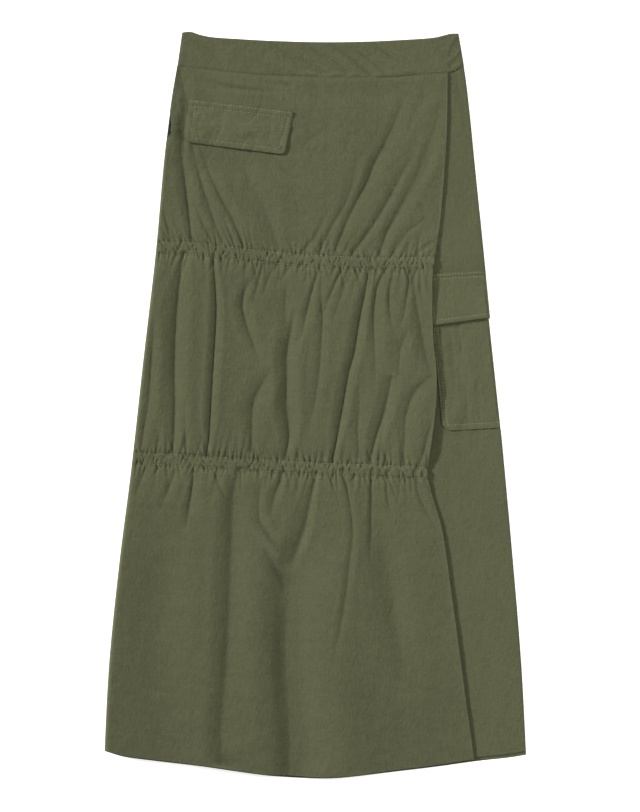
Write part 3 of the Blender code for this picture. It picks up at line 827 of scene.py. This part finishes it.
def wrap_cloth():
    half = ELASTIC / 2
    lines = ((WAIST_SEAM, SEAM_GAP), (UPPER_ELASTIC, -half), (UPPER_ELASTIC, half),
             (LOWER_ELASTIC, -half), (LOWER_ELASTIC, half), (HEM, -HEM_STEP))
    rows = [part + k / count for part, count in enumerate(WRAP_ROWS) for k in range(count)]
    rows += [4 + CLOSE * k / CLOSE_ROWS for k in range(CLOSE_ROWS)]
    rows += [4 + CLOSE + (1 - CLOSE) * x for x in spread(310, 5.6, (), FINE)]
    columns = spread(345, 1.1, WRAP_SIDE, FINE)

    def across_at(down):
        return mix(left_at(down) + gape_at(down), wrap_edge_at(down), columns[None, :])

    across, down = settle(lines, rows, across_at)
    up = wrap_top(across, down)
    # Painted shade: the side fold is painted dark, and so, a little, is the cloth towards the hem.
    painted_fold_shade = SIDE_FOLD_SHADE * np.exp(-(across - left_at(down)) / 5) + 0.22 * ramp(down, 600, 880)
    piece = cloth_shell("wrap_cloth", across, down, up, SHELL["wrap"], olive, painted_fold_shade=painted_fold_shade)
    declare(piece, "front_wrap", "olive_cloth", flat=(0.52, 0.90), held="gathered", area=0.40,
            rests_on=["base_cloth", "cargo_flap_cloth"])
    return piece


def panel_grid(inset, hem, column_pitch, row_pitch):
    lines = ((WAIST_SEAM, SEAM_GAP), (HEM, -hem))
    columns = spread(450, column_pitch, FINE, FINE)
    rows = spread(850, row_pitch, (), FINE)

    def across_at(down):
        right = right_at(down) - straight_line(PANEL_INSET["down"], PANEL_INSET["inset"], down)
        return mix(left_at(down) + inset, right, columns[None, :])

    return settle(lines, rows, across_at)


def base_cloth():
    across, down = panel_grid(9.5, BASE_HEM, 2.6, 4.0)
    soft = np.clip(waves(across, down, BASE_WAVES), -0.4, 1)
    up = base_top(across, down) + soft - fold_relief(across, down, BASE_FOLDS)
    up -= CRINKLE["base"] * crinkle(across, down)
    up -= rounded(right_at(down) - across, 1.2) + rounded(down_at(HEM, across) - BASE_HEM - down, 1.2)
    # Painted shade along the right side fold.
    painted_fold_shade = SIDE_FOLD_SHADE * np.exp(-(right_at(down) - across) / 2)
    piece = cloth_shell("base_cloth", across, down, up, SHELL["base"], olive_under, painted_fold_shade=painted_fold_shade)
    declare(piece, "front_base", "olive_cloth", flat=(0.52, 0.90), held="laid", area=0.385,
            rests_on=["back_cloth"])
    return piece


def back_cloth():
    across, down = panel_grid(0.0, -BACK_HEM, 3.4, 6.0)
    lift = cargo("panel_lift", across, down)
    up = lift + 0.95 + waves(across, down, BACK_WAVES)
    inside = np.minimum(across - left_at(down), right_at(down) - across)
    up -= rounded(inside, 0.8) + rounded(down_at(HEM, across) + BACK_HEM - down, 0.8)
    under = lift + np.clip(waves(across, down, UNDERSIDE_WAVES), 0, 0.3)
    piece = cloth_shell("back_cloth", across, down, up, SHELL["back"], olive, flat_below=under)
    declare(piece, "back_panel", "olive_cloth", flat=(0.52, 0.90), held="laid", area=0.39,
            rests_on=["floor"])
    return piece


def band_grid(row_pitch, column_pitch, inset=0.0):
    lines = ((WAIST_TOP, 0.0), (WAIST_SEAM, -SEAM_GAP))
    columns = spread(345, column_pitch, FINE, FINE)[None, :]
    rows = spread(42, row_pitch, FINE, FINE)
    return settle(lines, rows, lambda down: mix(left_at(down) + inset, right_at(down), columns))


def band_front_cloth():
    start = 1.5  # how far inside the left side fold it begins
    across, down = band_grid(1.2, 1.6, start)
    from_left, from_right = across - left_at(down), right_at(down) - across
    share = np.clip(from_left / (right_at(down) - left_at(down)), 0, 1)
    up = BAND_CLOTH * 2 + GAP + 1.3 * np.sin(math.pi * share) ** 0.5 + waves(across, down, BAND_WAVES)
    up -= soft_limit(BAND_FOLD_SHARE * fold_relief(across, down, BAND_FOLDS), BAND_FOLD_LIMIT)
    up -= CRINKLE["band"] * crinkle(across, down)
    up -= rounded(down - down_at(WAIST_TOP, across), 1.6)
    up -= rounded(from_right, 1.5) + rounded(from_left - start, 1.5)
    up -= 0.6 * bell(down, down_at(WAIST_SEAM, across), 1.4)
    # Painted shade along both side folds.
    painted_fold_shade = SIDE_FOLD_SHADE * np.exp(-np.minimum(from_right, from_left) / 2.5)
    up = np.maximum(up, 2.9)
    piece = cloth_shell("band_front_cloth", across, down, up, SHELL["band"], olive, painted_fold_shade=painted_fold_shade)
    declare(piece, "waistband_front", "olive_cloth", flat=(0.36, 0.05), held="laid",
            rests_on=["band_back_cloth"])
    return piece


def band_back_cloth():
    across, down = band_grid(3.0, 4.0)
    up = np.full_like(across, BAND_CLOTH) - rounded(down - down_at(WAIST_TOP, across), 1.2)
    up -= rounded(np.minimum(across - left_at(down), right_at(down) - across), 1.2)
    flat = np.zeros_like(up)
    piece = cloth_shell("band_back_cloth", across, down, up, SHELL["band"], olive, flat_below=flat)
    declare(piece, "waistband_back", "olive_cloth", flat=(0.36, 0.05), held="laid", rests_on=["floor"])
    return piece


def highest(up, reach):
    return -lowest(-up, reach)


def smoothed(up, rounds):
    """A grid of heights after so many rounds of averaging with its neighbours."""
    for _ in range(rounds):
        wide = np.pad(up, 1, mode="edge")
        up = (wide[:-2, 1:-1] + wide[2:, 1:-1] + wide[1:-1, :-2] + wide[1:-1, 2:] + 2 * up) / 6
    return up


def seamed(inside, seam, depth=0.45):
    """A groove along a row of stitches so far inside an edge, and the seam allowance's bulge beside it."""
    return depth * bell(inside, seam, 0.9) - 0.25 * bell(inside, seam / 2, 2.2)


def hip_flap_grid():
    (left, right), (low_left, low_right) = HIP_FLAP["top"], HIP_FLAP["bottom"]
    u = spread(right[0] - left[0], 1.1, FINE, FINE)[None, :]
    v = spread(low_left[1] - left[1], 1.1, (0.3, 0.8), FINE)[:, None]
    corner = HIP_FLAP["corner"]
    side = np.minimum(u, 1 - u) * (right[0] - left[0])
    cut = corner - np.sqrt(corner**2 - np.maximum(corner - side, 0) ** 2)
    across = mix(mix(left[0], right[0], u), mix(low_left[0], low_right[0], u), v)
    down = mix(mix(left[1], right[1], u), mix(low_left[1], low_right[1], u) - cut, v)
    below = (1 - v) * (low_left[1] - left[1] - cut)
    return across, down, np.minimum(side + 0 * v, below), v + 0 * u


def hip_flap_cloth():
    across, down, inside, v = hip_flap_grid()
    ground = smoothed(highest(wrap_top(across, down), 6), 30)
    lift = mix(*HIP_FLAP_LIFT, ramp(v, 0.12, 0.87)) + CLOTH
    upper, lower = HIP_FLAP_ROWS
    up = ground + lift - rounded(inside, 1.3)
    up -= seamed(inside, HIP_FLAP_SEAM)
    up -= seamed(v * HIP_FLAP_TALL, upper, 0.3) + seamed(v * HIP_FLAP_TALL, lower, 0.4)
    up += waves(across, down, HIP_FLAP_WAVES) - CRINKLE["hip_flap"] * crinkle(across, down)
    piece = cloth_shell("hip_flap_cloth", across, down, up, SHELL["flap"], olive_painted_lighter)
    declare(piece, "hip_flap", "olive_cloth", flat=(0.128, 0.055), held="laid",
            rests_on=["wrap_cloth"])
    return piece


def pocket_top(across, down):
    """Height of the cargo pocket's outer face."""
    return base_top(across, down) + GAP + POCKET_CLOTH


def round_the_side(name, size, row_pitch, wall, outer, under, over, relief, finish):
    """A patch centred on the right side fold: over the front, round the fold and under the back.

    Its stations run from 0 at its front edge to 1 and 2 at the fold and 3 at its back edge.
    """
    half = size["half"]
    front = spread(half, 1.2, FINE)
    turn = 1 + np.arange(1, 12) / 12
    back = 3 - spread(half, 9.0, FINE)[::-1]
    stations = np.concatenate([front, turn, back])[None, :]
    rows = spread(size["bottom"][0] - size["top"][0], row_pitch, FINE, FINE)[:, None]
    inward = np.minimum(np.minimum(stations, 3 - stations), 1)
    cut = size["cut"][1] * np.clip(1 - inward * half / size["cut"][0], 0, 1)
    down = mix(mix(*size["top"], inward), mix(*size["bottom"], inward) - cut, rows)
    edge = right_at(down) - outer(down)
    low, high = under(down), over(edge, down)
    radius = (high - low) / 2
    start = right_at(down) - half
    angle = math.pi * (np.clip(stations, 1, 2) - 1)
    over_front = mix(start, edge - radius, np.minimum(stations, 1))
    under_back = mix(edge - radius, start, np.maximum(stations, 2) - 2)
    across = np.where(stations <= 1, over_front, edge - radius + radius * np.sin(angle))
    across = np.where(stations >= 2, under_back, across)
    inside = np.minimum(inward * half, (1 - rows) * (size["bottom"][0] - size["top"][0] - cut))
    flat = over(mix(start, edge, np.minimum(stations, 1)), down) - relief(across, down, inside, rows)
    up = np.where(stations <= 1, flat, (high + low) / 2 + radius * np.cos(angle))
    up = np.where(stations >= 2, low, up)
    faces = quads_of(np.arange(up.size).reshape(up.shape)).tolist()
    piece = mesh_piece(name, to_world(across, down, up).reshape(-1, 3), faces, finish, closed=False)
    layer = piece.modifiers.new("Wall", "SOLIDIFY")
    layer.thickness = wall * MM
    layer.offset = -1
    return piece


def cargo_pocket_cloth():
    def outer(down):
        return straight_line(CARGO_STACK["down"], CARGO_STACK["pocket_inset"], down)

    def under(down):
        return straight_line(CARGO_STACK["down"], CARGO_STACK["pocket_lift"], down)

    def relief(across, down, inside, rows):
        fine = waves(across, down, POCKET_WAVES) - CRINKLE["pocket"] * crinkle(across, down)
        edges = rounded(inside, 0.8) + sum(seamed(inside, seam, 0.3) for seam in POCKET_SEAMS)
        return fold_relief(across, down, POCKET_FOLDS) - 1.0 * ramp(inside, 0, 24) + edges - fine

    piece = round_the_side("cargo_pocket_cloth", CARGO_POCKET, 1.7, SHELL["pocket"],
                           outer, under, pocket_top, relief, olive_painted_lighter)
    declare(piece, "cargo_pocket", "olive_cloth", flat=(0.148, 0.182), held="folded",
            rests_on=["base_cloth", "back_cloth"])
    return piece


def cargo_flap_cloth():
    def nothing(down):
        return 0 * down

    def over(across, down):
        return pocket_top(across, down) + GAP + FLAP_CLOTH

    def relief(across, down, inside, rows):
        tall = CARGO_FLAP["bottom"][0] - CARGO_FLAP["top"][0]
        fine = waves(across, down, CARGO_FLAP_WAVES) - CRINKLE["cargo_flap"] * crinkle(across, down)
        upper, lower = CARGO_FLAP_ROWS
        edges = rounded(inside, 1.1) + seamed(inside, CARGO_FLAP_SEAM)
        edges = edges + seamed(rows * tall, upper, 0.3) + seamed(rows * tall, lower, 0.4)
        return edges - fine - 2.6 * ramp(rows, 0.25, 0.95)

    piece = round_the_side("cargo_flap_cloth", CARGO_FLAP, 1.2, SHELL["flap"],
                           nothing, nothing, over, relief, olive_painted_lighter)
    declare(piece, "cargo_flap", "olive_cloth", flat=(0.152, 0.064), held="folded",
            rests_on=["cargo_pocket_cloth"])
    return piece


def zip_cloth():
    down = np.linspace(ZIP["top"], ZIP["bottom"], 81)[:, None]
    across = left_at(down) + GAP + ZIP["across"] * spread(ZIP["across"], 0.8)[None, :]
    down = down + 0 * across
    up = np.full_like(across, 2.3) + waves(across, down, ZIP_WAVES)
    # Its black is partly the zip's colour and partly painted shade for the gape of the side seam.
    piece = cloth_shell("zip_cloth", across, down, up, SHELL["zip"], black)
    declare(piece, "side_zip", "zip_tape", flat=(0.010, 0.156), held="laid", area=0.0011,
            rests_on=["back_cloth"])
    return piece


# Rows of stitches, and the teeth of the zip.

# A bar's rings: how far along it, how wide and how high each is, in its length and radius.
BAR_RINGS = (
    (-0.5, 0.35, -0.5),
    (-0.38, 0.9, -0.05),
    (0.0, 1.0, 0.12),
    (0.38, 0.9, -0.05),
    (0.5, 0.35, -0.5),
)
BAR_SIDES = 6
UNEVEN = 0.12  # a bar may be so much of the pitch out of place


def bars(name, rows, cloth, length, pitch, radius, finish, sink=0.1):
    """Rows of small rounded bars that lie on a cloth, along lines given as (across, down) points."""
    scene = bpy.context.evaluated_depsgraph_get()
    ground = BVHTree.FromObject(cloth, scene)
    rng = np.random.default_rng(len(rows) + len(name))
    points, faces = [], []
    sides, rings = BAR_SIDES, BAR_RINGS
    for line in rows:
        line = np.asarray(line, float)
        steps = np.hypot(*np.diff(line, axis=0).T)
        place = np.concatenate([[0], np.cumsum(steps)])
        for middle in np.arange(pitch / 2, place[-1], pitch):
            middle += rng.uniform(-UNEVEN, UNEVEN) * pitch
            ends = []
            for at in (middle - length / 2, middle + length / 2):
                across, down = np.interp(at, place, line[:, 0]), np.interp(at, place, line[:, 1])
                above = Vector((across, LENGTH / 2 - down, HIGH)) * MM
                ends.append(ground.ray_cast(above, Vector((0, 0, -1)))[0])
            if None in ends:
                continue
            centre, along = (ends[0] + ends[1]) / 2, (ends[1] - ends[0]).normalized()
            side = along.cross(Vector((0, 0, 1))).normalized()
            top = side.cross(along)
            first = len(points)
            for share, wide, lift in rings:
                for k in range(sides):
                    turn = math.tau * k / sides
                    rise = math.sin(turn) * wide + lift - sink / radius
                    offset = side * math.cos(turn) * wide + top * rise
                    points.append(centre + along * share * length * MM + offset * radius * MM)
            for ring in range(len(rings) - 1):
                for k in range(sides):
                    here, there = first + ring * sides, first + (ring + 1) * sides
                    faces.append([here + k, here + (k + 1) % sides, there + (k + 1) % sides, there + k])
            faces.append([first + k for k in range(sides)])
            faces.append([first + (len(rings) - 1) * sides + k for k in reversed(range(sides))])
    piece = mesh_piece(name, points, faces, finish, sharp=180)
    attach(piece, "root")
    return piece


def elastic_rows():
    rows = []
    for line in (UPPER_ELASTIC, LOWER_ELASTIC):
        across = np.linspace(line["across"][0], 160, 180)
        for offset in (-ELASTIC / 2, ELASTIC / 2):
            down = down_at(line, across) + offset
            shown = (across > left_at(down) + 5) & (across < wrap_edge_at(down) - 2)
            rows.append(np.stack([across, down], -1)[shown])
    return rows


def hip_flap_rows():
    (left, right), (low_left, low_right) = HIP_FLAP["top"], HIP_FLAP["bottom"]
    rows = []
    for below in HIP_FLAP_ROWS:
        share = below / (low_left[1] - left[1])
        rows.append([mix(np.array(left), np.array(low_left), share) + (2, 0.3),
                     mix(np.array(right), np.array(low_right), share) - (2, 0.3)])
    seam, corner = HIP_FLAP_SEAM, HIP_FLAP["corner"] - 5
    a, b = np.array(left) + (seam, 9.0), np.array(low_left) + (seam, 0.8 - seam)
    c, d = np.array(low_right) - (seam, seam + 0.8), np.array(right) + (-seam, 8.0)
    rows.append([a, b - (0, corner), b + (corner, 0.4), c - (corner, 0.4), c - (0, corner), d])
    return rows


def cargo_rows(size, seams, tops, bottoms):
    """Rows on a patch round the side: so far inside its left edge, and from its top and bottom."""
    rows = []
    top, bottom = size["top"][0], size["bottom"][0]
    for seam in seams:
        down = np.linspace(top + 8, bottom - max(bottoms), 40)
        rows.append(np.stack([right_at(down) - size["half"] + seam, down], -1))
    inward = np.linspace(1.5 / size["half"], 0.97, 60)
    for start, way, gaps in ((size["top"], 1, tops), (size["bottom"], -1, bottoms)):
        for gap in gaps:
            begin = max(seams) / size["half"] if way < 0 else inward[0]
            share = inward[inward >= begin]
            down = mix(*start, share) + way * gap
            rows.append(np.stack([right_at(down) - size["half"] * (1 - share), down], -1))
    return rows


def waist_rows():
    across = np.linspace(-166, 160, 170)
    return [np.stack([across, down_at(WAIST_SEAM, across) - 1.6], -1)]


def zip_rows():
    down = np.linspace(ZIP["top"] + 4, ZIP["bottom"] - 4, 60)
    return [np.stack([left_at(down) + 2.4, down], -1)]


wrap = wrap_cloth()
base_cloth()
back_cloth()
band = band_front_cloth()
band_back_cloth()
hip = hip_flap_cloth()
pocket = cargo_pocket_cloth()
flap = cargo_flap_cloth()
tape = zip_cloth()
bars("elastic_stitches", elastic_rows(), wrap, 2.1, 3.5, 0.42, thread)
bars("hip_flap_stitches", hip_flap_rows(), hip, 2.3, 3.7, 0.34, thread)
bars("cargo_pocket_stitches", cargo_rows(CARGO_POCKET, POCKET_SEAMS, (), POCKET_SEAMS[1:]),
     pocket, 2.3, 3.7, 0.34, thread)
bars("cargo_flap_stitches", cargo_rows(CARGO_FLAP, (CARGO_FLAP_SEAM,), CARGO_FLAP_ROWS, (CARGO_FLAP_SEAM,)),
     flap, 2.3, 3.7, 0.34, thread)
# Painted shade: the waist seam's stitch holes, as dark bars.
bars("waist_stitches", waist_rows(), band, 2.2, 3.2, 0.25, stitch_hole_shade, 0.2)
bars("zip_teeth", zip_rows(), tape, 1.1, 1.5, 0.7, black)


# Floor, lights and camera.

FLOOR = {"Base Color": (0.9, 0.9, 0.9, 1), "Roughness": 0.9, "Emission Color": (1, 1, 1, 1),
         "Emission Strength": 0.6}
SUN_WAY, SUN_POWER, SUN_ANGLE = (6.2, -2.9, -3.6), 4.6, 9
WORLD = {"Color": (1, 1, 1, 1), "Strength": 0.36}
VIEW_TALL = 0.9929  # height of the view at the cloth
VIEW_MIDDLE, VIEW_UP = (0.0058, -0.0021), 0.006


def studio():
    bpy.ops.mesh.primitive_plane_add(size=12, location=(0, 0, 0))
    floor = bpy.context.object
    floor.name = "floor"
    pale, _, _, shader = new_material("pale_floor")
    set_sockets(shader, FLOOR)
    floor.data.materials.append(pale)

    def soft_light(name, place, size, power):
        lamp = bpy.data.lights.new(name, "AREA")
        lamp.shape = "SQUARE"
        lamp.size = size
        lamp.energy = power
        holder = put_in_scene(name, lamp)
        holder.location = place
        holder.rotation_euler = (-Vector(place)).to_track_quat("-Z", "Y").to_euler()

    key = bpy.data.lights.new("key", "SUN")
    key.energy = SUN_POWER
    key.angle = math.radians(SUN_ANGLE)
    holder = put_in_scene("key", key)
    holder.rotation_euler = Vector(SUN_WAY).to_track_quat("-Z", "Y").to_euler()
    soft_light("overhead", (1.6, 0.6, 2.0), 1.6, 38)
    soft_light("rim", (2.6, -1.6, 1.3), 1.6, 12)
    world = bpy.data.worlds.new("studio")
    world.use_nodes = True
    set_sockets(world.node_tree.nodes["Background"], WORLD)
    bpy.context.scene.world = world
    bpy.context.scene.view_settings.view_transform = "Standard"


def camera():
    lens = bpy.data.cameras.new("camera")
    lens.lens = 120
    lens.clip_end = 50
    holder = put_in_scene("camera", lens)
    holder.location = (*VIEW_MIDDLE, VIEW_UP + VIEW_TALL * lens.lens / lens.sensor_width)
    bpy.context.scene.camera = holder


studio()
camera()
